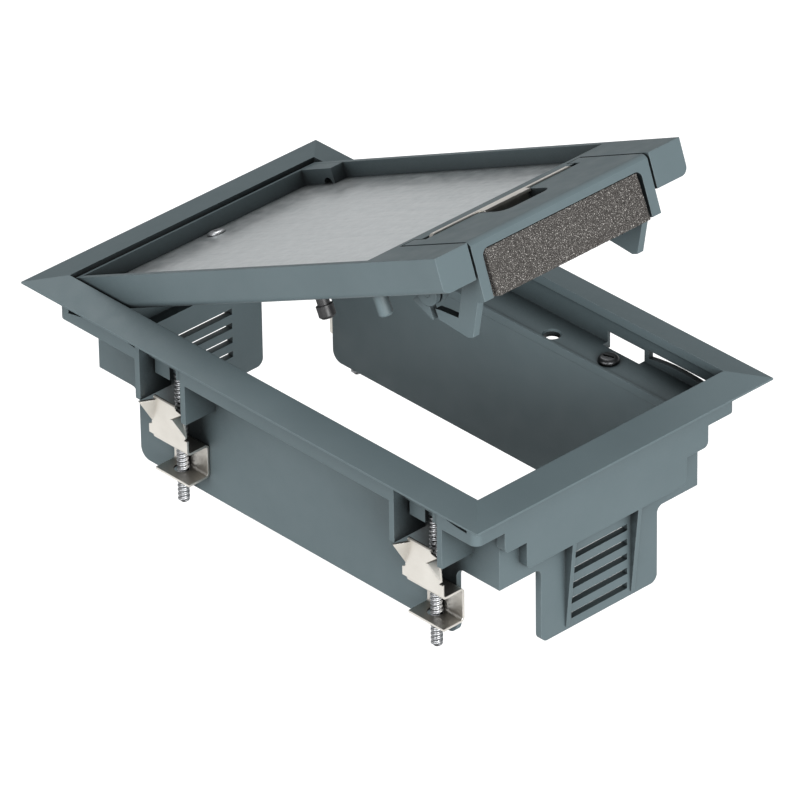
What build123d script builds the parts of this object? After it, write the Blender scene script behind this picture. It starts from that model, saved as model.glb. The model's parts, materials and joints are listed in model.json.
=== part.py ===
from build123d import *
import math
import os

# Floor service outlet for a raised floor, millimetres, +Z up.
# The origin is the centre of the floor cut-out at floor level, under the flange.
# The lid hinges at the -X end and its cord outlet is at the +X end.

# Flange that rests on the floor round the cut-out
flange_length = 264.0
flange_width = 162.0
flange_edge = 0.8
flange_border = 13.9
flange_top = 4.0

# Upper tier of the casing, just inside the floor cut-out
floor_lap_end = 10.8
floor_lap_side = 9.8
tier_corner = 3.5
tier_wall = 2.5
ledge_top = -12.0
ledge_thickness = 3.0

# Lower tube with its hanging long walls and end panels
tube_end_step = 4.6
tube_side_step = 16.7
side_wall = 2.5
end_wall = 3.1
ledge_lip = 0.4
ledge_ridge = 1.2
ledge_ridge_height = 0.6
tube_bottom = -44.2
hang_set_back = 24.1
hang_bottom = -76.0
hang_root = 4.5
hang_corner = 5.0
panel_width = 64.0
panel_bottom = -79.0
panel_root = 3.0
panel_corner = 3.5

# Stepped recesses in both ends, which leave room for the cord outlet
step_overhang = 1.3
step_bottom = -24.6
plate_width = 88.0
plate_bottom = -37.0
step_corner = 2.5
recess_wall = 2.5

# Louvres and fins of the end panels
louvre_count = 5
louvre_width = 31.0
louvre_height = 2.9
louvre_pitch = 6.8
louvre_top = -44.9
fin_gap = 34.0
fin_thickness = 2.0
fin_bottom = -77.0
fin_foot = 0.6

# Slots under the flange and holes in the ledge
slot_top = -6.0
slot_bottom = -10.9
long_slot_ends = (6.2, 46.2)
long_slot_rise = (0.0, 2.6, 1.0)
short_slot_ends = (19.2, 5.2)
short_slot_rise = (2.2, 0.9, 0.5)
device_hole_x = 32.0
device_hole_out = 2.5
device_hole_radius = 3.35
device_hole_sink = 0.7

# Clamp screws, two on each long side
screw_left_end = 58.5
screw_right_end = 36.2
screw_out = 3.9
screw_radius = 2.5
screw_tip = -82.0
screw_head_radius = 4.4
screw_head_height = 2.5
screw_head_ease = 0.9
screw_cross = 5.6
screw_cross_width = 1.1
screw_cross_depth = 1.2
screw_gap = 0.2
washer_radius = 3.7
washer_sides = 6
washer_thickness = 1.0

# Clamp pockets of the casing, measured from the screw axis
pocket_left = -9.9
pocket_right = 14.2
pocket_wall = 2.8
pocket_bottom = -33.3
pocket_recess = 1.2
window_right = 10.7
window_top = -7.0
ledge_cut_out = 7.3
boss_left = -7.7
boss_right = 5.5
boss_bottom = -19.2
guide_right = 1.0
guide_bottom = -22.0
guide_thickness = 2.0
boss_set_back = 0.9

# Bent strip claws, measured from the screw axis
claw_strip = 1.0
claw_bend = 1.6
claw_depth = 11.8
claw_left = -8.0
claw_right = 12.0
claw_front_left = -10.6
claw_shelf = -52.0
claw_base = -66.7
claw_wall_gap = 0.2
claw_top = -32.1
claw_top_left = -7.0
claw_top_right = 5.8
claw_shoulder_x = 10.2
claw_shoulder_z = -34.3
claw_notch_z = -45.6
claw_notch = 0.9
claw_flare_z = -48.2
claw_lip = 1.4
claw_lip_ease = 0.45
claw_hole_radius = 3.4
claw_hole_shift = 0.6
claw_thread_gap = 0.12
claw_step_z = -33.4
tooth_reach = 6.4
tooth_tip_z = -32.9
tooth_foot_z = -44.6
tooth_left_root = -6.5
tooth_left_foot = -8.8
tooth_left_tip = -9.2
tooth_right_root = 9.4
tooth_right_foot = 10.6
tooth_right_tip = 10.2

# Lid, measured from its hinge end and down from its top face
lid_hinge_gap = 2.7
lid_side_gap = 1.4
lid_height = 15.0
lid_rim = 2.4
lid_end_gap = 1.3
lid_corner = 3.4
plate_level = 6.6
plate_thickness = 1.6
plate_gap = 0.3
tray_floor = 2.0
recess_short = 44.2
strip_short = 36.6
arm_width = 16.9
arm_top = 3.2
arm_web = 1.0
lid_rib = 1.6
lid_rib_count = 4
lid_rib_gap = 2.0
lid_rest_angle = 25.0
plate_screw_s = 10.2
plate_screw_radius = 3.4
plate_screw_height = 1.2
plate_screw_ease = 0.7
plate_screw_shank = 1.2

# Hinge of the lid
hinge_s = 2.2
hinge_drop = 2.4
hinge_radius = 1.3
hinge_reach = 3.2
hinge_gap = 0.1

# Post and rubber buffer under the near side of the lid
post_short = 50.7
post_inset = 7.8
post_radius = 3.0
post_bottom = 24.5
post_ease = 0.8
buffer_rib_gap = 4.9
buffer_inset = 7.3
buffer_radius = 2.6
buffer_ring = 3.5
buffer_foot = 5.5
buffer_ease = 1.0
buffer_bottom = 24.2
ledge_clearance = 2.0

# Cord outlet flap in the free end of the lid
outlet_side_gap = 1.2
outlet_reach = 33.5
outlet_ear_reach = 40.8
outlet_ear_width = 7.2
outlet_top = 3.0
outlet_edge = 3.0
outlet_front = 3.4
outlet_bar = 5.0
outlet_leg = 4.8
outlet_leg_depth = 7.5
outlet_leg_bottom = 24.6
outlet_leg_corner = 3.2
end_draft = 5.0
cheek_thickness = 3.2
finger_half = 13.0
finger_reach = 18.2
finger_depth = 9.0
finger_wall = 1.6
finger_lead = 4.0
finger_corner = 5.0
pivot_reach = 31.4
pivot_drop = 18.3
pivot_radius = 2.0
pivot_gap = 0.1
ear_radius = 5.8
ear_thickness = 2.2
cheek_front_reach = 5.7
cheek_front_drop = 23.5
cheek_tip_reach = 17.7
cheek_tip_drop = 38.8
cheek_tip_half = 1.5
cheek_apex_reach = 21.2
cheek_apex_drop = 30.5
cheek_slope = 0.565
cheek_tail_reach = 45.7
cheek_tail_drop = 22.1
cheek_tail_end_reach = 37.4
cheek_tail_end_drop = 30.8
cheek_notch_reach = 36.6
cheek_notch = 3.2
cheek_sill_reach = 30.5
cheek_sill_drop = 27.1
cheek_sill_end_reach = 38.6
cheek_sill_end_drop = 24.8
cheek_rim = 4.0
far_cheek_inset = 3.1

# Foam pad of the cord outlet
foam_inset = 7.8
foam_front_gap = 0.6
foam_bottom = 25.0
foam_gap = 0.3

# Lift bar in the slit behind the cord outlet
bar_inset = 10.8
bar_thickness = 2.0
bar_gap = 0.3
bar_top = -0.5
bar_depth = 6.0
bar_lip = 3.4
bar_lip_thickness = 1.2
bar_lip_half = 12.4
bar_stem_half = 16.0
bar_foot = 6.4
bar_foot_half = 20.0
bar_travel = 8.0
bar_corner = 2.0

# Places that follow from the sizes above
opening_half_x = flange_length / 2 - flange_border
opening_half_y = flange_width / 2 - flange_border
ledge_bottom = ledge_top - ledge_thickness
tier_length = flange_length - 2 * floor_lap_end
tier_width = flange_width - 2 * floor_lap_side
tube_length = tier_length - 2 * tube_end_step
tube_width = tier_width - 2 * tube_side_step
hang_length = tube_length - 2 * hang_set_back
step_width = tube_width + 2 * step_overhang
long_slot = (long_slot_ends[0] - tier_length / 2, long_slot_ends[1] - tier_length / 2)
short_slot = (tier_length / 2 - short_slot_ends[0], tier_length / 2 - short_slot_ends[1])
device_hole_y = tube_width / 2 + device_hole_out
screw_left = screw_left_end - tier_length / 2
screw_right = tier_length / 2 - screw_right_end
screw_side = tube_width / 2 + screw_out
ledge_cut = screw_side + ledge_cut_out
lid_length = 2 * opening_half_x - lid_end_gap - lid_hinge_gap
lid_width = 2 * opening_half_y - 2 * lid_side_gap
lid_back = opening_half_x - lid_end_gap - lid_length
recess_end = lid_length - recess_short
strip_end = lid_length - strip_short
arm_inner = lid_width / 2 - arm_width
post_s = lid_length - post_short
post_y = post_inset - lid_width / 2
buffer_s = recess_end * lid_rib_count / (lid_rib_count + 1) - buffer_rib_gap
buffer_y = buffer_inset - lid_width / 2
outlet_back = lid_length - outlet_reach
outlet_ear_back = lid_length - outlet_ear_reach
outlet_ear_inner = arm_inner - outlet_ear_width
finger_front = lid_length - finger_reach
pivot_s = lid_length - pivot_reach
cheek_front = lid_length - cheek_front_reach
cheek_tip_s = lid_length - cheek_tip_reach
cheek_apex_s = lid_length - cheek_apex_reach
cheek_tail_s = lid_length - cheek_tail_reach
cheek_tail_end_s = lid_length - cheek_tail_end_reach
cheek_notch_s = lid_length - cheek_notch_reach
cheek_sill_s = lid_length - cheek_sill_reach
cheek_sill_end_s = lid_length - cheek_sill_end_reach
foam_half = arm_inner - foam_inset
bar_half = arm_inner - bar_inset
hinge_x = lid_back + hinge_s
hinge_z = flange_top - hinge_drop
tray_bottom = plate_level + plate_thickness + tray_floor
outlet_half = arm_inner - outlet_side_gap
foam_back = finger_front + finger_wall + foam_gap
bar_back = strip_end + bar_gap
bar_height = lid_height + bar_travel + bar_gap + bar_thickness
claw_back = tube_width / 2 + claw_wall_gap
claw_front = claw_back + claw_depth
screw_places = {"left": screw_left, "right": screw_right}


def block(x0, x1, y0, y1, z0, z1):
    centre = Pos((x0 + x1) / 2, (y0 + y1) / 2, (z0 + z1) / 2)
    return centre * Box(abs(x1 - x0), abs(y1 - y0), abs(z1 - z0))


def rod(x, y, z0, z1, radius):
    return Pos(x, y, (z0 + z1) / 2) * Cylinder(radius, abs(z1 - z0))


def cross_rod(x, z, y0, y1, radius):
    return Pos(x, (y0 + y1) / 2, z) * Rot(90, 0, 0) * Cylinder(radius, abs(y1 - y0))


def turned(part):
    """The same shape half a turn about the vertical, for the opposite long side."""
    return Rot(0, 0, 180) * part


def both(part):
    return part + turned(part)


def side_face(points, y0, y1):
    """A flat outline in X and Z, drawn out along Y."""
    outline = make_face(Polyline(*points, close=True))
    sheet = Plane.XZ.offset(-y0) * outline
    return extrude(sheet, y1 - y0, dir=(0, 1, 0))


def lid_block(s0, s1, y0, y1, d0, d1):
    """A block placed by lengths along the closed lid and depths below its top."""
    return block(lid_back + s0, lid_back + s1, y0, y1, flange_top - d0, flange_top - d1)


def lid_rod(s, y, d0, d1, radius):
    return rod(lid_back + s, y, flange_top - d0, flange_top - d1, radius)


def lid_side(points, y0, y1):
    placed = [(lid_back + s, flange_top - d) for s, d in points]
    return side_face(placed, y0, y1)


def raised(part):
    """The closed lid turned up about its hinge to the pose it rests in."""
    away = Pos(hinge_x, 0, hinge_z) * Rot(0, -lid_rest_angle, 0) * Pos(-hinge_x, 0, -hinge_z)
    return away * part


# Casing
def flange():
    slab = block(-flange_length / 2, flange_length / 2, -flange_width / 2, flange_width / 2, 0, flange_edge)
    foot = Plane.XY.offset(flange_edge) * Rectangle(flange_length, flange_width)
    brow = Plane.XY.offset(flange_top) * Rectangle(2 * opening_half_x, 2 * opening_half_y)
    slope = loft([foot, brow])
    opening = block(-opening_half_x, opening_half_x, -opening_half_y, opening_half_y, -1, flange_top + 1)
    return slab + slope - opening


def upper_tier():
    outline = RectangleRounded(tier_length, tier_width, tier_corner)
    room = RectangleRounded(tier_length - 2 * tier_wall, tier_width - 2 * tier_wall, tier_corner - tier_wall)
    tier = extrude(outline, ledge_bottom)
    tier -= extrude(room, ledge_top)
    lip_y = tube_width / 2 - side_wall - ledge_lip
    inner_x = tube_length / 2 - end_wall
    tier -= block(-inner_x, inner_x, -lip_y, lip_y, ledge_bottom - 1, 1)
    ridge = block(-inner_x, inner_x, -lip_y - ledge_ridge, -lip_y, ledge_top, ledge_top + ledge_ridge_height)
    return tier + both(ridge)


def hanging_sheet(full, deep, bottom, root, corner):
    """A wall across the tube whose middle part hangs lower, with eased corners."""
    apron = Pos(0, (ledge_bottom + tube_bottom) / 2) * Rectangle(full, ledge_bottom - tube_bottom)
    hang = Pos(0, (ledge_bottom + bottom) / 2) * Rectangle(deep, ledge_bottom - bottom)
    sheet = apron + hang
    roots = [v for v in sheet.vertices() if abs(abs(v.X) - deep / 2) < 0.01 and abs(v.Y - tube_bottom) < 0.01]
    sheet = fillet(roots, root)
    tips = [v for v in sheet.vertices() if abs(v.Y - bottom) < 0.01]
    return fillet(tips, corner)


def long_wall():
    sheet = hanging_sheet(tube_length, hang_length, hang_bottom, hang_root, hang_corner)
    placed = Plane.XZ.offset(tube_width / 2) * sheet
    return extrude(placed, side_wall, dir=(0, 1, 0))


def end_step(width, top, bottom):
    """Flush block on the end face with rounded lower corners."""
    face = Pos(0, (top + bottom) / 2) * Rectangle(width, top - bottom)
    low = [v for v in face.vertices() if abs(v.Y - bottom) < 0.01]
    face = fillet(low, step_corner)
    reach = (tier_length - tube_length) / 2
    placed = Plane.YZ.offset(tube_length / 2) * face
    return extrude(placed, reach, dir=(1, 0, 0))


def end_recess(width, top, bottom):
    room = width - 2 * recess_wall
    outer = tier_length / 2 - recess_wall
    inner = tube_length / 2 - end_wall - 1
    return block(inner, outer, -room / 2, room / 2, bottom + recess_wall, top)


def fin(side):
    foot_x = tube_length / 2
    points = [(foot_x - 0.5, plate_bottom), (tier_length / 2, plate_bottom)]
    points += [(foot_x + fin_foot, fin_bottom), (foot_x - 0.5, fin_bottom)]
    inner = fin_gap / 2
    y0, y1 = sorted((side * inner, side * (inner + fin_thickness)))
    return side_face(points, y0, y1)


def end_panel():
    sheet = hanging_sheet(tube_width, panel_width, panel_bottom, panel_root, panel_corner)
    placed = Plane.YZ.offset(tube_length / 2) * sheet
    panel = extrude(placed, end_wall, dir=(-1, 0, 0))
    panel += end_step(step_width, ledge_bottom, step_bottom)
    panel += end_step(plate_width, step_bottom, plate_bottom)
    panel += fin(1) + fin(-1)
    for row in range(louvre_count):
        top = louvre_top - row * louvre_pitch
        x0 = tube_length / 2 - end_wall - 1
        x1 = tube_length / 2 + 1
        panel -= block(x0, x1, -louvre_width / 2, louvre_width / 2, top - louvre_height, top)
    return panel


def flange_slot(ends, rise):
    """Long slot through the near wall of the tier, its lower edge arched."""
    x0, x1 = ends
    start, middle, end = [(x, slot_bottom + lift) for x, lift in zip((x0, (x0 + x1) / 2, x1), rise)]
    arch = ThreePointArc(start, middle, end)
    rest = Polyline(end, (x1, slot_top), (x0, slot_top), start)
    outline = make_face([arch, rest])
    placed = Plane.XZ.offset(tier_width / 2 + 1) * outline
    return extrude(placed, tier_wall + 2, dir=(0, 1, 0))


def pocket_walls(x):
    outer = -tier_width / 2
    inner = -tube_width / 2
    left = block(x + pocket_left - pocket_wall, x + pocket_left, outer, inner, pocket_bottom, ledge_top)
    right = block(x + pocket_right, x + pocket_right + pocket_wall, outer, inner, pocket_bottom, ledge_top)
    front = -ledge_cut + boss_set_back
    boss = block(x + boss_left, x + boss_right, front + guide_thickness, inner, boss_bottom, ledge_bottom)
    guide = block(x + boss_left, x + guide_right, front, front + guide_thickness, guide_bottom, ledge_bottom)
    return left + right + boss + guide


def pocket_cuts(x):
    outer = -tier_width / 2 - 1
    recess = block(x + pocket_left, x + pocket_right, outer, outer + 1 + pocket_recess, ledge_bottom - 1, 0)
    window = block(x + pocket_left, x + window_right, outer, -ledge_cut, ledge_bottom - 1, window_top)
    hole = rod(x, -screw_side, guide_bottom - 1, ledge_top + 1, screw_radius + screw_gap)
    return recess + window + hole


def device_hole():
    hole = rod(device_hole_x, device_hole_y, ledge_bottom - 1, ledge_top + 1, device_hole_radius)
    wide = device_hole_radius + device_hole_sink
    sink = Pos(device_hole_x, device_hole_y, ledge_top - device_hole_sink / 2)
    return hole + sink * Cone(device_hole_radius, wide, device_hole_sink)


def lid_foot_holes():
    """Holes in the near ledge that the post and the buffer of the closed lid enter."""
    top = ledge_top + 1
    holes = rod(lid_back + post_s, post_y, ledge_bottom, top, post_radius + ledge_clearance)
    return holes + rod(lid_back + buffer_s, buffer_y, ledge_bottom, top, buffer_ring + ledge_clearance)


def hinge_holes():
    reach = opening_half_y + hinge_reach
    return cross_rod(hinge_x, hinge_z, -reach, reach, hinge_radius + hinge_gap)


def casing():
    body = flange() + upper_tier() + both(long_wall())
    body += end_panel() + turned(end_panel())
    for x in screw_places.values():
        body += both(pocket_walls(x))
        body -= both(pocket_cuts(x))
    recesses = end_recess(step_width, ledge_top + 0.01, step_bottom)
    recesses += end_recess(plate_width, step_bottom + recess_wall + 0.01, plate_bottom)
    body -= both(recesses)
    body -= both(flange_slot(long_slot, long_slot_rise) + flange_slot(short_slot, short_slot_rise))
    body -= both(device_hole()) + lid_foot_holes()
    return body - hinge_holes()


# Clamps
def clamp_screw(x):
    screw = rod(x, -screw_side, screw_tip, ledge_top, screw_radius)
    head = rod(x, -screw_side, ledge_top, ledge_top + screw_head_height, screw_head_radius)
    head = chamfer(head.edges().group_by(Axis.Z)[-1], screw_head_ease)
    top = ledge_top + screw_head_height
    slot = Box(screw_cross, screw_cross_width, 2 * screw_cross_depth)
    cross = Pos(x, -screw_side, top) * (slot + Rot(0, 0, 90) * slot)
    return screw + head - cross


def retaining_washer(x):
    """Thin six-sided washer, pushed on to keep the screw down in its boss."""
    low = boss_bottom - screw_gap - washer_thickness
    ring = RegularPolygon(washer_radius, washer_sides) - Circle(screw_radius)
    return Pos(x, -screw_side, low) * extrude(ring, washer_thickness)


def claw_profile():
    """Section of the bent strip: front plate, shelf, back plate and base."""
    half = claw_strip / 2
    front = -claw_front + half
    back = -claw_back - half
    path = FilletPolyline(
        (front, claw_notch_z),
        (front, claw_shelf),
        (back, claw_shelf),
        (back, claw_base),
        (-claw_front + half, claw_base),
        radius=claw_bend,
    )
    return trace(path, line_width=claw_strip)


def claw_plate():
    """Front plate with its shoulders, notches and flared foot, drawn in X and Z."""
    points = [
        (claw_front_left, claw_shelf + claw_bend),
        (claw_front_left, claw_notch_z - claw_notch),
        (tooth_left_foot, claw_notch_z),
        (tooth_left_foot, tooth_foot_z),
        (claw_top_left, claw_top),
        (claw_top_right, claw_top),
        (claw_top_right, claw_step_z),
        (claw_shoulder_x, claw_shoulder_z),
        (claw_shoulder_x + claw_notch, tooth_foot_z),
        (claw_shoulder_x, claw_notch_z),
        (claw_right, claw_flare_z),
        (claw_right, claw_shelf + claw_bend),
    ]
    return side_face(points, -claw_front, -claw_front + claw_strip)


def claw_tooth(root_x, foot_x, tip_x, top_z):
    """Triangular tooth bent forward out of the front plate, to bite the floor."""
    root_y = -claw_front + claw_strip / 2
    foot = (foot_x, root_y, tooth_foot_z)
    top = (root_x, root_y, top_z)
    tip = (tip_x, -claw_front - tooth_reach, tooth_tip_z)
    sheet = Face(Wire.make_polygon([foot, top, tip]))
    return extrude(sheet, claw_strip / 2, both=True)


def clamp_claw(x):
    section = Plane.YZ.offset(claw_left) * claw_profile()
    strip = extrude(section, claw_right - claw_left, dir=(1, 0, 0))
    claw = strip + claw_plate()
    lip_low = claw_top - claw_lip / 2
    lip_back = -claw_front + claw_strip
    lip = block(claw_top_left, claw_top_right, lip_back - claw_lip, lip_back, lip_low, lip_low + claw_lip)
    claw += chamfer(lip.edges().filter_by(Axis.X), claw_lip_ease)
    claw += claw_tooth(tooth_left_root, tooth_left_foot, tooth_left_tip, claw_top - claw_lip)
    claw += claw_tooth(tooth_right_root, tooth_right_foot, tooth_right_tip, claw_shoulder_z)
    thread = rod(0, -screw_side, claw_shelf - 3, claw_shelf + 3, screw_radius + claw_thread_gap)
    hole = rod(0, -screw_side - claw_hole_shift, claw_base - 3, claw_base + 3, claw_hole_radius)
    return Pos(x, 0, 0) * (claw - thread - hole)


# Lid
def eased_sides(block_part):
    """Rounds the lower long edges on the outer sides of the lid."""
    low = [
        e for e in block_part.edges().filter_by(Axis.X)
        if abs(abs(e.center().Y) - lid_width / 2) < 0.01 and e.center().Z < flange_top - lid_height + 0.01
    ]
    return fillet(low, lid_corner)


def lid_tray():
    half = lid_width / 2
    room = half - lid_rim
    body = eased_sides(lid_block(0, strip_end, -half, half, 0, lid_height))
    body -= lid_block(lid_rim, recess_end, -room, room, -1, plate_level + plate_thickness)
    body -= lid_block(lid_rim, strip_end - lid_rim, -room, room, tray_bottom, lid_height + 1)
    for index in range(lid_rib_count):
        s = recess_end * (index + 1) / (lid_rib_count + 1)
        half_rib = lid_rib / 2
        body += lid_block(s - half_rib, s + half_rib, -room, room, tray_bottom, lid_height - lid_rib_gap)
    for side in (1, -1):
        y0, y1 = sorted((side * arm_inner, side * half))
        arm = eased_sides(lid_block(strip_end, lid_length, y0, y1, 0, lid_height))
        hollow0, hollow1 = sorted((side * (arm_inner + lid_rim), side * room))
        hollow_end = lid_length - lid_rim
        body += arm
        body -= lid_block(strip_end - lid_rim, hollow_end, hollow0, hollow1, tray_bottom, lid_height + 1)
        body -= lid_block(strip_end + arm_web, hollow_end, hollow0, hollow1, arm_top, tray_bottom + 1)
        body = drafted_end(body) + lid_ear(side)
        body -= ear_pocket(side)
        body -= lid_pin_hole(side)
    post = lid_rod(post_s, post_y, tray_bottom, post_bottom, post_radius)
    body += chamfer(post.edges().group_by(Axis.Z)[0], post_ease)
    body -= lid_rod(plate_screw_s, 0, plate_level, tray_bottom + 1, plate_screw_shank)
    return body


def lid_ear(side):
    """Ear under the arm that carries the pivot of the cord outlet."""
    y0, y1 = sorted((side * arm_inner, side * (arm_inner + ear_thickness)))
    neck = lid_block(pivot_s - ear_radius, pivot_s + ear_radius, y0, y1, lid_height - lid_rim, pivot_drop)
    disc = cross_rod(lid_back + pivot_s, flange_top - pivot_drop, y0, y1, ear_radius)
    bore = cross_rod(lid_back + pivot_s, flange_top - pivot_drop, y0 - 1, y1 + 1, pivot_radius + pivot_gap)
    return neck + disc - bore


def ear_pocket(side):
    """Room in the lid for the rear corner of the cord outlet and its gap line."""
    y0, y1 = sorted((side * (outlet_ear_inner - 0.6), side * arm_inner))
    return lid_block(outlet_ear_back - outlet_side_gap / 2, strip_end + 0.01, y0, y1, -1, lid_height + 1)


def lid_pin_hole(side):
    half = lid_width / 2
    y0, y1 = sorted((side * (half - lid_rim - 1), side * (half + 1)))
    return cross_rod(hinge_x, hinge_z, y0, y1, hinge_radius)


def lid_plate():
    half = lid_width / 2 - lid_rim - plate_gap
    low = plate_level + plate_thickness
    plate = lid_block(lid_rim + plate_gap, recess_end - plate_gap, -half, half, plate_level, low)
    return plate - lid_rod(plate_screw_s, 0, plate_level - 1, tray_bottom, plate_screw_shank)


def plate_screw():
    head = lid_rod(plate_screw_s, 0, plate_level - plate_screw_height, plate_level, plate_screw_radius)
    head = chamfer(head.edges().group_by(Axis.Z)[-1], plate_screw_ease)
    return head + lid_rod(plate_screw_s, 0, plate_level, tray_bottom, plate_screw_shank)


def hinge_pin(side):
    inner = lid_width / 2 - lid_rim
    outer = opening_half_y + hinge_reach - hinge_gap
    y0, y1 = sorted((side * inner, side * outer))
    return cross_rod(hinge_x, hinge_z, y0, y1, hinge_radius)


def lid_buffer():
    stem = lid_rod(buffer_s, buffer_y, tray_bottom, buffer_bottom - buffer_foot + 1, buffer_radius)
    foot = lid_rod(buffer_s, buffer_y, buffer_bottom - buffer_foot, buffer_bottom, buffer_ring)
    return stem + chamfer(foot.edges().group_by(Axis.Z)[0], buffer_ease)


# Cord outlet
def drafted_end(part):
    """The free end of the lid leans inwards towards its underside."""
    deep = cheek_tip_drop
    lean = deep * math.tan(math.radians(end_draft))
    wedge = [(lid_length, 0), (lid_length + 1, -1), (lid_length + 1, deep), (lid_length - lean, deep)]
    return part - lid_side(wedge, -lid_width, lid_width)


def outlet_shell():
    top = lid_block(outlet_back, lid_length, -outlet_half, outlet_half, 0, outlet_top)
    for side in (1, -1):
        y0, y1 = sorted((side * outlet_ear_inner, side * outlet_half))
        top += lid_block(outlet_ear_back, outlet_back + 1, y0, y1, 0, outlet_top)
    back = lid_length - outlet_leg_depth
    front = lid_block(back, lid_length, -outlet_half, outlet_half, 0, outlet_leg_bottom)
    inside = outlet_half - outlet_leg
    arch = lid_block(back - 1, lid_length + 1, -inside, inside, outlet_bar, outlet_leg_bottom + 1)
    crown = [e for e in arch.edges().filter_by(Axis.X) if e.center().Z > flange_top - outlet_bar - 0.01]
    front -= fillet(crown, outlet_leg_corner)
    front -= lid_block(back - 1, lid_length - outlet_front, -inside, inside, outlet_top, outlet_leg_bottom)
    shell = top + front
    edge = [
        e for e in shell.edges().filter_by(Axis.Y)
        if abs(e.center().X - lid_back - lid_length) < 0.01 and abs(e.center().Z - flange_top) < 0.01
    ]
    return fillet(edge, outlet_edge)


def cheek_edge(s):
    """Depth of the cheek's straight lower edge."""
    return cheek_tip_drop - cheek_slope * (cheek_tip_s - cheek_tip_half - s)


def cheek_span(side):
    """Inner and outer face of a cheek: the far one stands further in."""
    inset = far_cheek_inset if side > 0 else 0
    outer = outlet_half - inset
    return sorted((side * (outer - cheek_thickness), side * outer))


def cheek(side):
    """Side cheek: an open triangle that hangs on the pivot and carries the leg."""
    y0, y1 = cheek_span(side)
    notch_end = cheek_notch_s + cheek_notch
    outer = [
        (outlet_back, outlet_top - 1),
        (cheek_front, outlet_top - 1),
        (cheek_front, cheek_front_drop),
        (cheek_tip_s + cheek_tip_half, cheek_tip_drop),
        (cheek_tip_s - cheek_tip_half, cheek_tip_drop),
        (notch_end, cheek_edge(notch_end)),
        (cheek_tail_end_s, cheek_tail_end_drop),
        (cheek_tail_s, cheek_tail_drop),
        (pivot_s - ear_radius, pivot_drop),
    ]
    window_front = lid_length - outlet_leg_depth - 1
    window = [
        (outlet_back + cheek_rim, outlet_top + cheek_rim),
        (window_front, outlet_top + cheek_rim),
        (window_front, outlet_top + 2 * cheek_rim),
        (cheek_apex_s, cheek_apex_drop),
        (cheek_sill_s, cheek_sill_drop),
        (cheek_sill_end_s, cheek_sill_end_drop),
        (pivot_s, pivot_drop),
    ]
    plate = lid_side(outer, y0, y1) - lid_side(window, y0 - 1, y1 + 1)
    plate -= lid_block(cheek_notch_s, notch_end, y0 - 1, y1 + 1, pivot_drop + ear_radius, cheek_tip_drop)
    plate += cross_rod(lid_back + pivot_s, flange_top - pivot_drop, y0, y1, ear_radius)
    return plate - cross_rod(lid_back + pivot_s, flange_top - pivot_drop, y0 - 1, y1 + 1, pivot_radius)


def finger_outline(grow):
    """Outline of the finger cup, which runs out through the rear edge of the flap."""
    back = outlet_back - finger_lead
    length = finger_front - back + 2 * grow
    outline = RectangleRounded(length, 2 * (finger_half + grow), finger_corner + grow)
    return Pos(lid_back + (back + finger_front) / 2, 0) * outline


def finger_recess():
    """Cup in the rear edge of the flap, so that a finger can reach the lift bar."""
    deep = finger_depth + finger_wall
    hole = extrude(Plane.XY.offset(flange_top + 1) * finger_outline(0), finger_depth + 1, dir=(0, 0, -1))
    outer = Plane.XY.offset(flange_top - outlet_top) * finger_outline(finger_wall)
    shell = extrude(outer, deep - outlet_top, dir=(0, 0, -1))
    keep = lid_block(outlet_back, lid_length, -outlet_half, outlet_half, outlet_top, deep)
    return hole, shell & keep


def cord_outlet():
    hole, cup = finger_recess()
    outlet = outlet_shell() + cheek(1) + cheek(-1) + cup
    return drafted_end(outlet - hole)


def outlet_foam():
    front = lid_length - foam_front_gap
    key_front = lid_length - outlet_front - foam_gap
    top = outlet_bar + foam_gap
    pad = lid_block(foam_back, front, -foam_half, foam_half, top, foam_bottom)
    return pad + lid_block(foam_back, key_front, -foam_half, foam_half, outlet_top + foam_gap, top)


def outlet_pin(side):
    inner = min(abs(y) for y in cheek_span(side))
    outer = arm_inner + ear_thickness
    y0, y1 = sorted((side * inner, side * outer))
    return cross_rod(lid_back + pivot_s, flange_top - pivot_drop, y0, y1, pivot_radius)


def lift_bar():
    """Strip with a finger lip on a narrower stem, whose foot stops it in the lid."""
    front = bar_back + bar_thickness
    strip = lid_block(bar_back, front, -bar_half, bar_half, bar_top, bar_depth)
    high = [e for e in strip.edges().filter_by(Axis.X) if e.center().Z > flange_top - bar_top - 0.01]
    strip = fillet(high, bar_corner)
    stem = lid_block(bar_back, front, -bar_stem_half, bar_stem_half, bar_depth - 1, bar_height)
    lip_low = bar_top + bar_lip_thickness
    lip = lid_block(bar_back, front + bar_lip, -bar_lip_half, bar_lip_half, bar_top, lip_low)
    foot_top = bar_height - bar_thickness
    foot = lid_block(front - bar_foot, front, -bar_foot_half, bar_foot_half, foot_top, bar_height)
    return strip + stem + lip + foot


def build():
    parts = {"casing": casing()}
    for place, x in screw_places.items():
        for side in ("near", "far"):
            set_of_three = {
                "clamp_screw": clamp_screw(x),
                "retaining_washer": retaining_washer(x),
                "clamp_claw": clamp_claw(x),
            }
            for name, piece in set_of_three.items():
                placed = piece if side == "near" else turned(piece)
                parts[f"{name}_{side}_{place}"] = placed
    lid = {
        "lid_tray": lid_tray(),
        "lid_plate": lid_plate(),
        "plate_screw": plate_screw(),
        "hinge_pin_near": hinge_pin(-1),
        "hinge_pin_far": hinge_pin(1),
        "lid_buffer": lid_buffer(),
        "cord_outlet": cord_outlet(),
        "outlet_foam": outlet_foam(),
        "outlet_pin_near": outlet_pin(-1),
        "outlet_pin_far": outlet_pin(1),
        "lift_bar": lift_bar(),
    }
    for name, piece in lid.items():
        parts[name] = raised(piece)
    return parts


os.makedirs("parts", exist_ok=True)
for node, shape in build().items():
    export_step(shape, f"parts/{node}.step")
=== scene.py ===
import json
import math
import bmesh
import bpy
from mathutils import Matrix, Vector, noise


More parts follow.
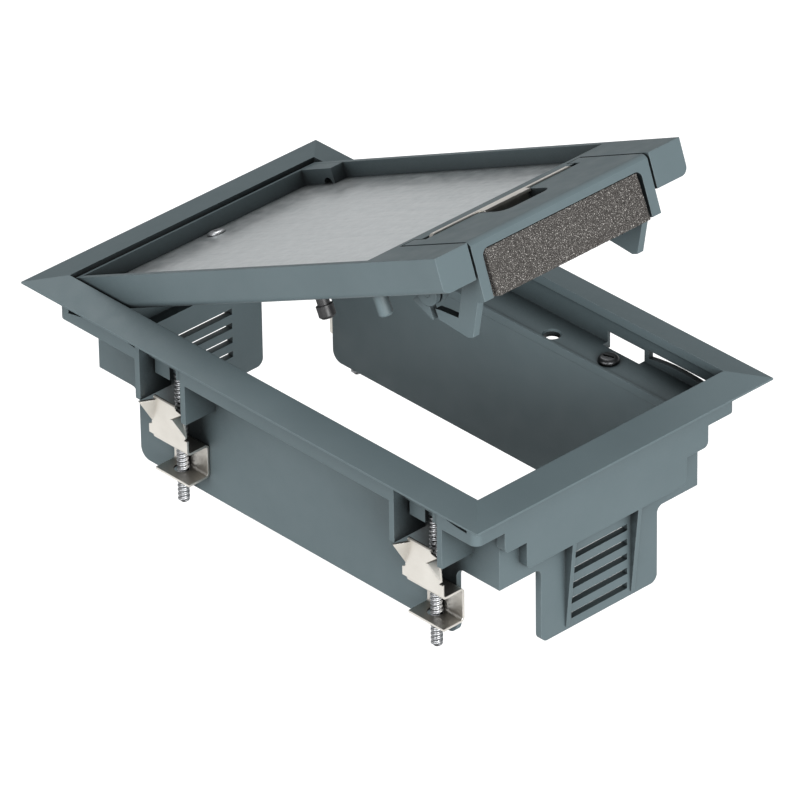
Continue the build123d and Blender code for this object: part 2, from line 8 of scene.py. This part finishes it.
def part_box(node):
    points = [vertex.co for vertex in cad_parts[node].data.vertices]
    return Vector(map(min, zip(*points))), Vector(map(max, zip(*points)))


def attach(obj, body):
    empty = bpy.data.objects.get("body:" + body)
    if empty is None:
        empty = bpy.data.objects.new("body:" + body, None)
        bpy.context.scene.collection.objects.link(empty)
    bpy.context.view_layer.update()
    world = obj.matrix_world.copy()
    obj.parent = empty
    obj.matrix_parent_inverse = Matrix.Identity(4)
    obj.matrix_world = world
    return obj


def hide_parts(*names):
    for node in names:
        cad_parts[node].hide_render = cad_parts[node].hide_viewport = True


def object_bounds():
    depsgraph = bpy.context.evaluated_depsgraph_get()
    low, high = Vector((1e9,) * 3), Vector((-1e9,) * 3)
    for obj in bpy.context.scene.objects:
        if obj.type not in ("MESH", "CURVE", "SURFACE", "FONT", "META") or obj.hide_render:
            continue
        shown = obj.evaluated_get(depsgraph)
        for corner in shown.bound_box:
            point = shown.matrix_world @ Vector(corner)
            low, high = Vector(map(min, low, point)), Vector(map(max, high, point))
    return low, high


# Looks of the floor service outlet. Lengths are in metres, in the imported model's own frame.

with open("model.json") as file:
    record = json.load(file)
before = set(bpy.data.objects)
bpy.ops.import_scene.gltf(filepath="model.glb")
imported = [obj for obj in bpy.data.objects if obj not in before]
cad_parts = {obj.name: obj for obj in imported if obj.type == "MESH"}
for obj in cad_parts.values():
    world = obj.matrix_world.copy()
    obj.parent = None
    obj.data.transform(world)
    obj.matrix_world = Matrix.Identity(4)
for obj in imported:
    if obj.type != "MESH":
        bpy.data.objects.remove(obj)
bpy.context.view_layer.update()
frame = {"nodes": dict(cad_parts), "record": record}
nodes = frame["nodes"]
places = ("near_left", "near_right", "far_left", "far_right")

# Camera, fitted to the outline of the flange in the photograph
image_width = 794
camera_azimuth = math.radians(46.989)
camera_elevation = math.radians(31.819)
camera_roll = math.radians(-0.898)
camera_distance = 3.2186
camera_side = 0.0015459
camera_rise = -0.026906
camera_lift = 0.0008
camera_reach = 20
focal_pixels = 8093
sensor_width = 36.0

# Lid: its raised angle, and its top corner at the hinge end
lid_angle = math.radians(25.0)
lid_corner_x = -0.116208
lid_corner_z = 0.002845

# Boss in the far hinge-end corner of the lid, with a half-round mouth at the plate
boss_start = 0.0023
boss_end = 0.0216
boss_inner = 0.0563
boss_outer = 0.0634
boss_depth = 0.0066
boss_top = 0.00005
mouth_centre = 0.0176
mouth_radius = 0.0026
mouth_steps = 14

# Domed screw heads, in shares of their radius and height, and the slot in their top
head_steps = 10
head_sides = 48
head_foot = 0.98
head_edge = 0.12
dome_flat = 0.55
dome_start = 0.35
slot_taper = 0.75
head_crease = math.radians(40)

# Clamp screws: head, shank and thread
clamp_head = {"height": 0.0025, "slot_length": 0.0058, "slot_width": 0.0012, "slot_depth": 0.0013}
clamp_head_turn = math.radians(20)
# Painted shade covers the clamp screws above this level, fading in over the length below it
clamp_head_level = -0.0125
clamp_head_fade = 0.0002
shank_overlap = 0.0001
thread_pitch = 0.002
thread_root = 0.00192
thread_crest = 0.0025
thread_top = -0.0165
thread_steps = 20
thread_sides = 20
thread_crease = math.radians(65)
crest_flat = 1.25
tip_share = 0.62
tip_reach = 0.0018

# Plate screw
plate_head = {"height": 0.0014, "slot_length": 0.0036, "slot_width": 0.0008, "slot_depth": 0.0007}
plate_head_radius = 0.0038
plate_screw_along = 0.0102

# Foam
foam_grain = 0.0007
foam_rough = 0.00022
foam_sink = 0.55
foam_frequency = 900
foam_seed = 3.7

# Shading: the range that holds most of a noise, samples, and eased edges
noise_low = 0.3
noise_high = 0.7
bevel_samples = 4
# Samples for the painted shade in recesses
hollow_samples = 8
# Bend at which the painted edge highlights begin
edge_bend = 0.8
soft_edge = 0.0004
crisp_edge = 0.0003

# Floor and light, with each light's place, size and power
floor_gap = 0.045
floor_reach = 3.0
floor_tone = 0.36
floor_seen = 0.95
floor_mirrored = 0.62
world_strength = 0.25
light_target = (0, 0, -0.02)
lights = {
    "key": ((2.05, -0.8, 0.65), 1.2, 57),
    "front": ((0.3, -2.0, 0.65), 1.2, 22),
    "top": ((-1.2, 0.5, 2.0), 1.5, 21),
}


# Camera
def make_camera():
    sin_a, cos_a = math.sin(camera_azimuth), math.cos(camera_azimuth)
    sin_e, cos_e = math.sin(camera_elevation), math.cos(camera_elevation)
    sin_r, cos_r = math.sin(camera_roll), math.cos(camera_roll)
    back = Vector((sin_a * cos_e, -cos_a * cos_e, sin_e))
    right = Vector((cos_a, sin_a, 0))
    up = back.cross(right)
    rolled_right = cos_r * right + sin_r * up
    rolled_up = cos_r * up - sin_r * right
    place = back * camera_distance + rolled_right * camera_side + rolled_up * camera_rise
    place.z += camera_lift
    data = bpy.data.cameras.new("camera")
    data.sensor_width = sensor_width
    data.lens = focal_pixels * sensor_width / image_width
    data.clip_end = camera_reach
    camera = bpy.data.objects.new("camera", data)
    turn = Matrix((rolled_right, rolled_up, back)).transposed().to_4x4()
    camera.matrix_world = Matrix.Translation(place) @ turn
    bpy.context.scene.collection.objects.link(camera)
    bpy.context.scene.camera = camera


# Nodes that the materials share
def new_material(name):
    material = bpy.data.materials.new(name)
    material.use_nodes = True
    return material, material.node_tree.nodes["Principled BSDF"]


def add(material, kind, **values):
    node = material.node_tree.nodes.new(kind)
    for key, value in values.items():
        setattr(node, key, value)
    return node


def link(material, source, target):
    material.node_tree.links.new(source, target)


def connect(material, shader, colour, normal, roughness=None):
    link(material, colour, shader.inputs["Base Color"])
    link(material, normal, shader.inputs["Normal"])
    if roughness is not None:
        link(material, roughness, shader.inputs["Roughness"])


def coordinates(material, scale=(1, 1, 1), turn=0.0):
    """Object coordinates, scaled and turned about Y. The scale is a grain's length each way."""
    place = add(material, "ShaderNodeTexCoord")
    mapping = add(material, "ShaderNodeMapping", vector_type="TEXTURE")
    mapping.inputs["Rotation"].default_value = (0, turn, 0)
    mapping.inputs["Scale"].default_value = scale
    link(material, place.outputs["Object"], mapping.inputs["Vector"])
    return mapping.outputs["Vector"]


def height_of(material, vector):
    node = add(material, "ShaderNodeSeparateXYZ")
    link(material, vector, node.inputs["Vector"])
    return node.outputs["Z"]


def noise_node(material, vector, scale, detail=4.0, roughness=0.55):
    node = add(material, "ShaderNodeTexNoise")
    node.inputs["Scale"].default_value = scale
    node.inputs["Detail"].default_value = detail
    node.inputs["Roughness"].default_value = roughness
    link(material, vector, node.inputs["Vector"])
    return node.outputs["Fac"]


def cells_node(material, vector, scale):
    node = add(material, "ShaderNodeTexVoronoi")
    node.inputs["Scale"].default_value = scale
    link(material, vector, node.inputs["Vector"])
    return node.outputs["Distance"]


def mapped(material, value, start, end, low=0.0, high=1.0):
    """A number that goes from low at the start value to high at the end value."""
    node = add(material, "ShaderNodeMapRange")
    node.inputs["From Min"].default_value = start
    node.inputs["From Max"].default_value = end
    node.inputs["To Min"].default_value = low
    node.inputs["To Max"].default_value = high
    link(material, value, node.inputs["Value"])
    return node.outputs["Result"]


def between(material, factor, low, high):
    """A number that goes from low to high with a noise."""
    return mapped(material, factor, noise_low, noise_high, low, high)


def blend_colours(material, factor, low, high):
    """A colour that goes from low to high with a noise."""
    ramp = add(material, "ShaderNodeValToRGB")
    ramp.color_ramp.elements[0].position = noise_low
    ramp.color_ramp.elements[0].color = (*low, 1)
    ramp.color_ramp.elements[1].position = noise_high
    ramp.color_ramp.elements[1].color = (*high, 1)
    link(material, factor, ramp.inputs["Fac"])
    return ramp.outputs["Color"]


def mixed_colour(material, factor, first, second):
    node = add(material, "ShaderNodeMix", data_type="RGBA")
    link(material, factor, node.inputs["Factor"])
    link(material, first, node.inputs["A"])
    node.inputs["B"].default_value = (*second, 1)
    return node.outputs["Result"]


def eased_normal(material, radius):
    node = add(material, "ShaderNodeBevel")
    node.samples = bevel_samples
    node.inputs["Radius"].default_value = radius
    return node.outputs["Normal"]


def bump(material, height, strength, distance, normal=None):
    node = add(material, "ShaderNodeBump")
    node.inputs["Strength"].default_value = strength
    node.inputs["Distance"].default_value = distance
    link(material, height, node.inputs["Height"])
    if normal is not None:
        link(material, normal, node.inputs["Normal"])
    return node.outputs["Normal"]


def edge_highlight_mask(material, radius):
    """Mask of the painted edge highlights, high where the surface bends within the radius and low on flat
    faces.
    """
    geometry = add(material, "ShaderNodeNewGeometry")
    compare = add(material, "ShaderNodeVectorMath", operation="DOT_PRODUCT")
    link(material, eased_normal(material, radius), compare.inputs[0])
    link(material, geometry.outputs["Normal"], compare.inputs[1])
    return mapped(material, compare.outputs["Value"], start=1.0, end=edge_bend)


def painted_shade_mask(material, distance, open_at, closed_at, most):
    """Painted shade: its amount rises from zero on open faces to its most far inside a narrow recess."""
    node = add(material, "ShaderNodeAmbientOcclusion")
    node.samples = hollow_samples
    node.inputs["Distance"].default_value = distance
    return mapped(material, node.outputs["AO"], open_at, closed_at, high=most)


# Materials
def plastic():
    """Grey moulded plastic with a fine grain, with painted highlights on its edges and painted shade in
    its hollows.
    """
    dark, light = (0.108, 0.146, 0.158), (0.118, 0.158, 0.171)
    # A painted highlight colour for the edges, then a painted shade colour for recesses
    painted_edge_highlight = (0.19, 0.245, 0.262)
    hollow_shade_colour = (0.006, 0.008, 0.009)
    material, shader = new_material("grey_plastic")
    vector = coordinates(material)
    cloud = noise_node(material, vector, scale=26, detail=5)
    patches = noise_node(material, vector, scale=110)
    grain = noise_node(material, vector, scale=2600, detail=3)
    base = blend_colours(material, cloud, dark, light)
    # Painted highlight on the edges
    edge_highlighted = mixed_colour(material, edge_highlight_mask(material, soft_edge), base, painted_edge_highlight)
    # Painted shade: darkens the colour in recesses within 40 mm
    hollow_shade = painted_shade_mask(material, distance=0.040, open_at=0.90, closed_at=0.36, most=0.97)
    eased = eased_normal(material, soft_edge)
    connect(
        material, shader,
        colour=mixed_colour(material, hollow_shade, edge_highlighted, hollow_shade_colour),
        roughness=between(material, patches, low=0.46, high=0.58),
        normal=bump(material, grain, strength=0.16, distance=0.00008, normal=eased),
    )
    shader.inputs["Specular IOR Level"].default_value = 0.35
    return material


def galvanised():
    """Galvanised sheet, brushed along the lid, with faint spangles and painted shade in its hollows."""
    dark, light = (0.54, 0.59, 0.605), (0.78, 0.82, 0.83)
    streak = (0.86, 0.88, 0.89)
    # Painted shade colour for recesses
    hollow_shade_colour = (0.10, 0.115, 0.12)
    material, shader = new_material("zinc_plate")
    even = coordinates(material, turn=lid_angle)
    along = coordinates(material, scale=(0.06, 0.0011, 0.06), turn=lid_angle)
    cloud = noise_node(material, even, scale=240, detail=5, roughness=0.7)
    streaks = noise_node(material, along, scale=1.0, detail=6, roughness=0.65)
    spangle = cells_node(material, even, scale=150)
    base = blend_colours(material, cloud, dark, light)
    streaked = between(material, streaks, low=0.0, high=0.55)
    brushed = mixed_colour(material, streaked, base, streak)
    # Painted shade: darkens the colour in recesses within 30 mm
    hollow_shade = painted_shade_mask(material, distance=0.030, open_at=0.90, closed_at=0.45, most=0.85)
    eased = eased_normal(material, crisp_edge)
    scored = bump(material, streaks, strength=0.26, distance=0.0001, normal=eased)
    connect(
        material, shader,
        colour=mixed_colour(material, hollow_shade, brushed, hollow_shade_colour),
        roughness=between(material, cloud, low=0.30, high=0.42),
        normal=bump(material, spangle, strength=0.03, distance=0.0004, normal=scored),
    )
    shader.inputs["Metallic"].default_value = 0.9
    return material


def nickel(name, shade_reach, open_at, most):
    """Warm nickel-plated strip with level streaks, painted highlights on its edges, and painted shade in
    hollows within the reach.
    """
    dark, light = (0.76, 0.73, 0.67), (0.86, 0.83, 0.77)
    # A painted highlight colour for the edges, then a painted shade colour for recesses
    painted_edge_glint = (0.92, 0.90, 0.86)
    hollow_shade_colour = (0.07, 0.065, 0.06)
    material, shader = new_material(name)
    even = coordinates(material)
    level = coordinates(material, scale=(0.03, 0.03, 0.0009))
    cloud = noise_node(material, even, scale=70)
    streaks = noise_node(material, level, scale=1.0, detail=5, roughness=0.6)
    base = blend_colours(material, cloud, dark, light)
    # Painted highlight on the edges
    edge_glinted = mixed_colour(material, edge_highlight_mask(material, crisp_edge), base, painted_edge_glint)
    # Painted shade: darkens the colour in recesses within the reach
    hollow_shade = painted_shade_mask(material, shade_reach, open_at, closed_at=0.10, most=most)
    eased = eased_normal(material, crisp_edge)
    connect(
        material, shader,
        colour=mixed_colour(material, hollow_shade, edge_glinted, hollow_shade_colour),
        roughness=between(material, streaks, low=0.30, high=0.42),
        normal=bump(material, streaks, strength=0.05, distance=0.00004, normal=eased),
    )
    shader.inputs["Metallic"].default_value = 1.0
    return material


def clamp_painted_shade(material, vector, base):
    """Paints shade on the heads of the clamp screws and on the flanks that their threads turn down."""
    flank_shade_colour, head_shade_colour = (0.03, 0.032, 0.035), (0.035, 0.036, 0.038)
    most = 0.92
    geometry = add(material, "ShaderNodeNewGeometry")
    facing_up = height_of(material, geometry.outputs["Normal"])
    # Painted shade on faces that turn downwards
    flank_shade = mapped(material, facing_up, start=0.15, end=-0.1, high=most)
    level = height_of(material, vector)
    # Painted shade on the heads, above the head level
    head = mapped(material, level, clamp_head_level - clamp_head_fade, clamp_head_level, high=most)
    return mixed_colour(material, head, mixed_colour(material, flank_shade, base, flank_shade_colour), head_shade_colour)


def bright_zinc(name, with_painted_shade=False):
    """Bright zinc plating, with painted shade in the narrowest hollows, and painted shade on the heads
    and downward flanks of the clamp screws.
    """
    dark, light = (0.54, 0.555, 0.575), (0.70, 0.715, 0.735)
    hollow_shade_colour = (0.012, 0.012, 0.012)
    material, shader = new_material(name)
    vector = coordinates(material)
    cloud = noise_node(material, vector, scale=260, detail=3)
    base = blend_colours(material, cloud, dark, light)
    if with_painted_shade:
        base = clamp_painted_shade(material, vector, base)
    # Painted shade: darkens thread roots and other narrow recesses within 1.8 mm
    hollow_shade = painted_shade_mask(material, distance=0.0018, open_at=0.88, closed_at=0.40, most=0.94)
    connect(
        material, shader,
        colour=mixed_colour(material, hollow_shade, base, hollow_shade_colour),
        roughness=between(material, cloud, low=0.34, high=0.44),
        normal=bump(material, cloud, strength=0.03, distance=0.00005),
    )
    shader.inputs["Metallic"].default_value = 1.0
    return material


def rubber():
    """Matt black rubber."""
    dark, light = (0.006, 0.006, 0.007), (0.016, 0.016, 0.017)
    material, shader = new_material("black_rubber")
    cloud = noise_node(material, coordinates(material), scale=300)
    eased = eased_normal(material, crisp_edge)
    connect(
        material, shader,
        colour=blend_colours(material, cloud, dark, light),
        roughness=between(material, cloud, low=0.38, high=0.52),
        normal=bump(material, cloud, strength=0.2, distance=0.0001, normal=eased),
    )
    return material


def foam():
    """Dark open-cell foam with pale specks."""
    dark, light = (0.036, 0.033, 0.031), (0.096, 0.090, 0.084)
    speck = (0.56, 0.54, 0.51)
    material, shader = new_material("foam")
    vector = coordinates(material)
    cloud = noise_node(material, vector, scale=1300, detail=2)
    grains = noise_node(material, vector, scale=2300, detail=2, roughness=0.7)
    cells = cells_node(material, vector, scale=1900)
    base = blend_colours(material, cloud, dark, light)
    specks = mapped(material, grains, start=0.59, end=0.66)
    connect(
        material, shader,
        colour=mixed_colour(material, specks, base, speck),
        normal=bump(material, cells, strength=0.6, distance=0.0005),
    )
    shader.inputs["Roughness"].default_value = 0.95
    shader.inputs["Specular IOR Level"].default_value = 0.2
    return material


materials = {
    "grey_plastic": plastic(),
    "zinc_plate": galvanised(),
    "nickel_strip": nickel("nickel_strip", shade_reach=0.018, open_at=0.84, most=0.92),
    "lift_strip": nickel("lift_strip", shade_reach=0.003, open_at=0.45, most=0.60),
    "screw_steel": bright_zinc("screw_steel"),
    # A copy of screw_steel with painted shade on the heads and downward flanks of the clamp screws
    "clamp_steel": bright_zinc("clamp_steel", with_painted_shade=True),
    "black_rubber": rubber(),
    "foam": foam(),
}


def dress(piece, finish):
    piece.data.materials.clear()
    piece.data.materials.append(materials[finish])


# Meshes
def add_ring(mesh, x, y, level, radii):
    """Vertices about an upright axis, one for each radius."""
    ring = []
    for side, radius in enumerate(radii):
        angle = 2 * math.pi * side / len(radii)
        ring.append(mesh.verts.new((x + radius * math.cos(angle), y + radius * math.sin(angle), level)))
    return ring


def add_skin(mesh, rings, split=False):
    """A closed skin over rings of vertices. When split, its sides are triangles that follow a thread."""
    for lower, upper in zip(rings, rings[1:]):
        for side in range(len(lower)):
            after = (side + 1) % len(lower)
            if split:
                mesh.faces.new((lower[side], lower[after], upper[after]))
                mesh.faces.new((lower[side], upper[after], upper[side]))
            else:
                mesh.faces.new((lower[side], lower[after], upper[after], upper[side]))
    mesh.faces.new(list(reversed(rings[0])))
    mesh.faces.new(rings[-1])


def finished(name, mesh):
    """Mesh data with its faces turned outwards."""
    bmesh.ops.recalc_face_normals(mesh, faces=mesh.faces)
    data = bpy.data.meshes.new(name)
    mesh.to_mesh(data)
    mesh.free()
    return data


def scratch_object(name, data):
    thing = bpy.data.objects.new(name, data)
    bpy.context.scene.collection.objects.link(thing)
    return thing


def mesh_with_modifiers(thing):
    shaped = thing.evaluated_get(bpy.context.evaluated_depsgraph_get())
    return bpy.data.meshes.new_from_object(shaped)


def smooth(data, crease):
    """Smooth shading, but for edges that bend more than the crease angle."""
    data.shade_smooth()
    data.set_sharp_from_angle(angle=crease)


# Pieces
def add_piece(name, data, body, slot):
    piece = bpy.data.objects.new(name, data)
    bpy.context.scene.collection.objects.link(piece)
    dress(piece, slot)
    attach(piece, body)
    return piece


def lid_place(along, across, down):
    """A place on the raised lid: along it, across it, and down from its top face."""
    x = lid_corner_x + along * math.cos(lid_angle) + down * math.sin(lid_angle)
    z = lid_corner_z + along * math.sin(lid_angle) - down * math.cos(lid_angle)
    return Vector((x, across, z))


def corner_boss():
    """Block in the far hinge-end corner of the lid, with a half-round mouth at the plate."""
    outline = [(boss_start, boss_top), (boss_end, boss_top), (boss_end, boss_depth)]
    for index in range(mouth_steps + 1):
        angle = math.pi * index / mouth_steps
        along = mouth_centre + mouth_radius * math.cos(angle)
        outline.append((along, boss_depth - mouth_radius * math.sin(angle)))
    outline.append((boss_start, boss_depth))
    mesh = bmesh.new()
    walls = []
    for across in (boss_inner, boss_outer):
        walls.append([mesh.verts.new(lid_place(along, across, down)) for along, down in outline])
    add_skin(mesh, walls)
    add_piece("corner_boss_far", finished("corner_boss_far", mesh), "lid", "grey_plastic")


def domed_head(radius, height, slot_length, slot_width, slot_depth):
    """Mesh of a pan head on its foot at the origin, with a straight slot along X in its top."""
    profile = [(radius * head_foot, 0.0), (radius, height * head_edge)]
    for step in range(head_steps):
        angle = 0.5 * math.pi * step / head_steps
        reach = radius * (dome_flat + (1 - dome_flat) * math.cos(angle))
        level = height * (dome_start + (1 - dome_start) * math.sin(angle))
        profile.append((reach, level))
    mesh = bmesh.new()
    add_skin(mesh, [add_ring(mesh, 0, 0, level, [reach] * head_sides) for reach, level in profile])
    dome = scratch_object("dome", finished("dome", mesh))
    cutter_mesh = bmesh.new()
    bmesh.ops.create_cube(cutter_mesh, size=1)
    for vertex in cutter_mesh.verts:
        taper = 1.0 if vertex.co.z > 0 else slot_taper
        vertex.co.x *= slot_length * taper
        vertex.co.y *= slot_width * taper
        vertex.co.z = height + 2 * vertex.co.z * slot_depth
    cutter = scratch_object("slot", finished("slot", cutter_mesh))
    cut = dome.modifiers.new("slot", "BOOLEAN")
    cut.operation = "DIFFERENCE"
    cut.solver = "EXACT"
    cut.object = cutter
    data = mesh_with_modifiers(dome)
    bpy.data.objects.remove(cutter)
    bpy.data.objects.remove(dome)
    return data


def thread_radius(z, angle):
    """Radius of a right-hand rounded thread at a height and an angle."""
    phase = z / thread_pitch - angle / (2 * math.pi)
    swell = 0.5 + 0.5 * math.cos(2 * math.pi * phase)
    return thread_root + (thread_crest - thread_root) * min(1.0, crest_flat * swell)


def add_thread(mesh, x, y, low, high):
    """A closed threaded shank with a tapered tip."""
    rise = thread_pitch / thread_steps
    angles = [2 * math.pi * side / thread_sides for side in range(thread_sides)]
    rings = []
    for index in range(int((high - low) / rise) + 1):
        z = low + index * rise
        taper = min(1.0, tip_share + (z - low) / tip_reach)
        rings.append(add_ring(mesh, x, y, z, [thread_radius(z, angle) * taper for angle in angles]))
    add_skin(mesh, rings, split=True)


def threaded_screw(place):
    """A pan head on a shank with a real thread, in the place of the CAD screw."""
    node = nodes["clamp_screw_" + place]
    low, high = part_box(node.name)
    x, y = (low.x + high.x) / 2, (low.y + high.y) / 2
    foot = high.z - clamp_head["height"]
    head = domed_head((high.x - low.x) / 2, **clamp_head)
    head.transform(Matrix.Translation((x, y, foot)) @ Matrix.Rotation(clamp_head_turn, 4, "Z"))
    mesh = bmesh.new()
    mesh.from_mesh(head)
    shank_levels = (thread_top - thread_pitch / 2, foot + shank_overlap)
    add_skin(mesh, [add_ring(mesh, x, y, level, [thread_crest] * thread_sides) for level in shank_levels])
    add_thread(mesh, x, y, low.z, thread_top)
    data = finished("threaded_screw_" + place, mesh)
    smooth(data, thread_crease)
    piece = add_piece("threaded_screw_" + place, data, "screw_" + place, "screw_steel")
    # This material paints shade on the head and the downward flanks
    dress(piece, "clamp_steel")
    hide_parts(node.name)


def plate_screw():
    """Domed slotted screw that holds the plate in the lid."""
    node = nodes["plate_screw"]
    low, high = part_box(node.name)
    data = domed_head(plate_head_radius, **plate_head)
    spot = lid_place(plate_screw_along, (low.y + high.y) / 2, boss_depth)
    data.transform(Matrix.Translation(spot) @ Matrix.Rotation(-lid_angle, 4, "Y"))
    smooth(data, head_crease)
    piece = add_piece("domed_plate_screw", data, "lid", "screw_steel")
    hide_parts(node.name)


def foam_pad():
    """The foam block, remeshed fine and roughened like cut open-cell foam."""
    node = nodes["outlet_foam"]
    source = scratch_object("foam_source", node.data.copy())
    remesh = source.modifiers.new("remesh", "REMESH")
    remesh.mode = "VOXEL"
    remesh.voxel_size = foam_grain
    data = mesh_with_modifiers(source)
    bpy.data.objects.remove(source)
    shifts = []
    for vertex in data.vertices:
        spot = vertex.co * foam_frequency + Vector((foam_seed, 0, 0))
        shifts.append(vertex.normal * ((noise.noise(spot) - foam_sink) * foam_rough))
    for vertex, shift in zip(data.vertices, shifts):
        vertex.co += shift
    data.shade_smooth()
    piece = add_piece("foam_pad", data, "outlet", "foam")
    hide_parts(node.name)


# Floor and light
def make_floor():
    """A floor that looks white to the camera and dimmer in reflections.

    It lies clear of the part, so that the painted-shade masks don't take it for a wall.
    """
    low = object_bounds()[0].z - floor_gap
    corners = [(x * floor_reach, y * floor_reach, low) for x, y in ((-1, -1), (1, -1), (1, 1), (-1, 1))]
    mesh = bpy.data.meshes.new("floor")
    mesh.from_pydata(corners, [], [(0, 1, 2, 3)])
    floor = bpy.data.objects.new("floor", mesh)
    bpy.context.scene.collection.objects.link(floor)
    material, shader = new_material("floor")
    shader.inputs["Base Color"].default_value = (floor_tone, floor_tone, floor_tone, 1)
    shader.inputs["Roughness"].default_value = 0.9
    shader.inputs["Specular IOR Level"].default_value = 0.1
    shader.inputs["Emission Color"].default_value = (1, 1, 1, 1)
    path = add(material, "ShaderNodeLightPath")
    seen = add(material, "ShaderNodeMath", operation="MULTIPLY")
    seen.inputs[1].default_value = floor_seen
    link(material, path.outputs["Is Camera Ray"], seen.inputs[0])
    glow = add(material, "ShaderNodeMath", operation="MULTIPLY_ADD")
    glow.inputs[1].default_value = floor_mirrored
    link(material, path.outputs["Is Glossy Ray"], glow.inputs[0])
    link(material, seen.outputs["Value"], glow.inputs[2])
    link(material, glow.outputs["Value"], shader.inputs["Emission Strength"])
    mesh.materials.append(material)


def area_light(name, place, size, power):
    data = bpy.data.lights.new(name, "AREA")
    data.shape = "DISK"
    data.size = size
    data.energy = power
    light = bpy.data.objects.new(name, data)
    aim = Vector(light_target) - Vector(place)
    light.matrix_world = Matrix.Translation(place) @ aim.to_track_quat("-Z", "Y").to_matrix().to_4x4()
    bpy.context.scene.collection.objects.link(light)


def make_light():
    world = bpy.data.worlds.new("world")
    world.use_nodes = True
    background = world.node_tree.nodes["Background"]
    background.inputs["Color"].default_value = (1, 1, 1, 1)
    background.inputs["Strength"].default_value = world_strength
    bpy.context.scene.world = world
    for name, (place, size, power) in lights.items():
        area_light(name, place, size, power)
    bpy.context.scene.view_settings.view_transform = "Standard"


make_camera()
for entry in frame["record"]["subparts"]:
    dress(nodes[entry["node"]], entry["material_slot"])
dress(nodes["lift_bar"], "lift_strip")
for place in places:
    threaded_screw(place)
plate_screw()
corner_boss()
foam_pad()
make_floor()
make_light()
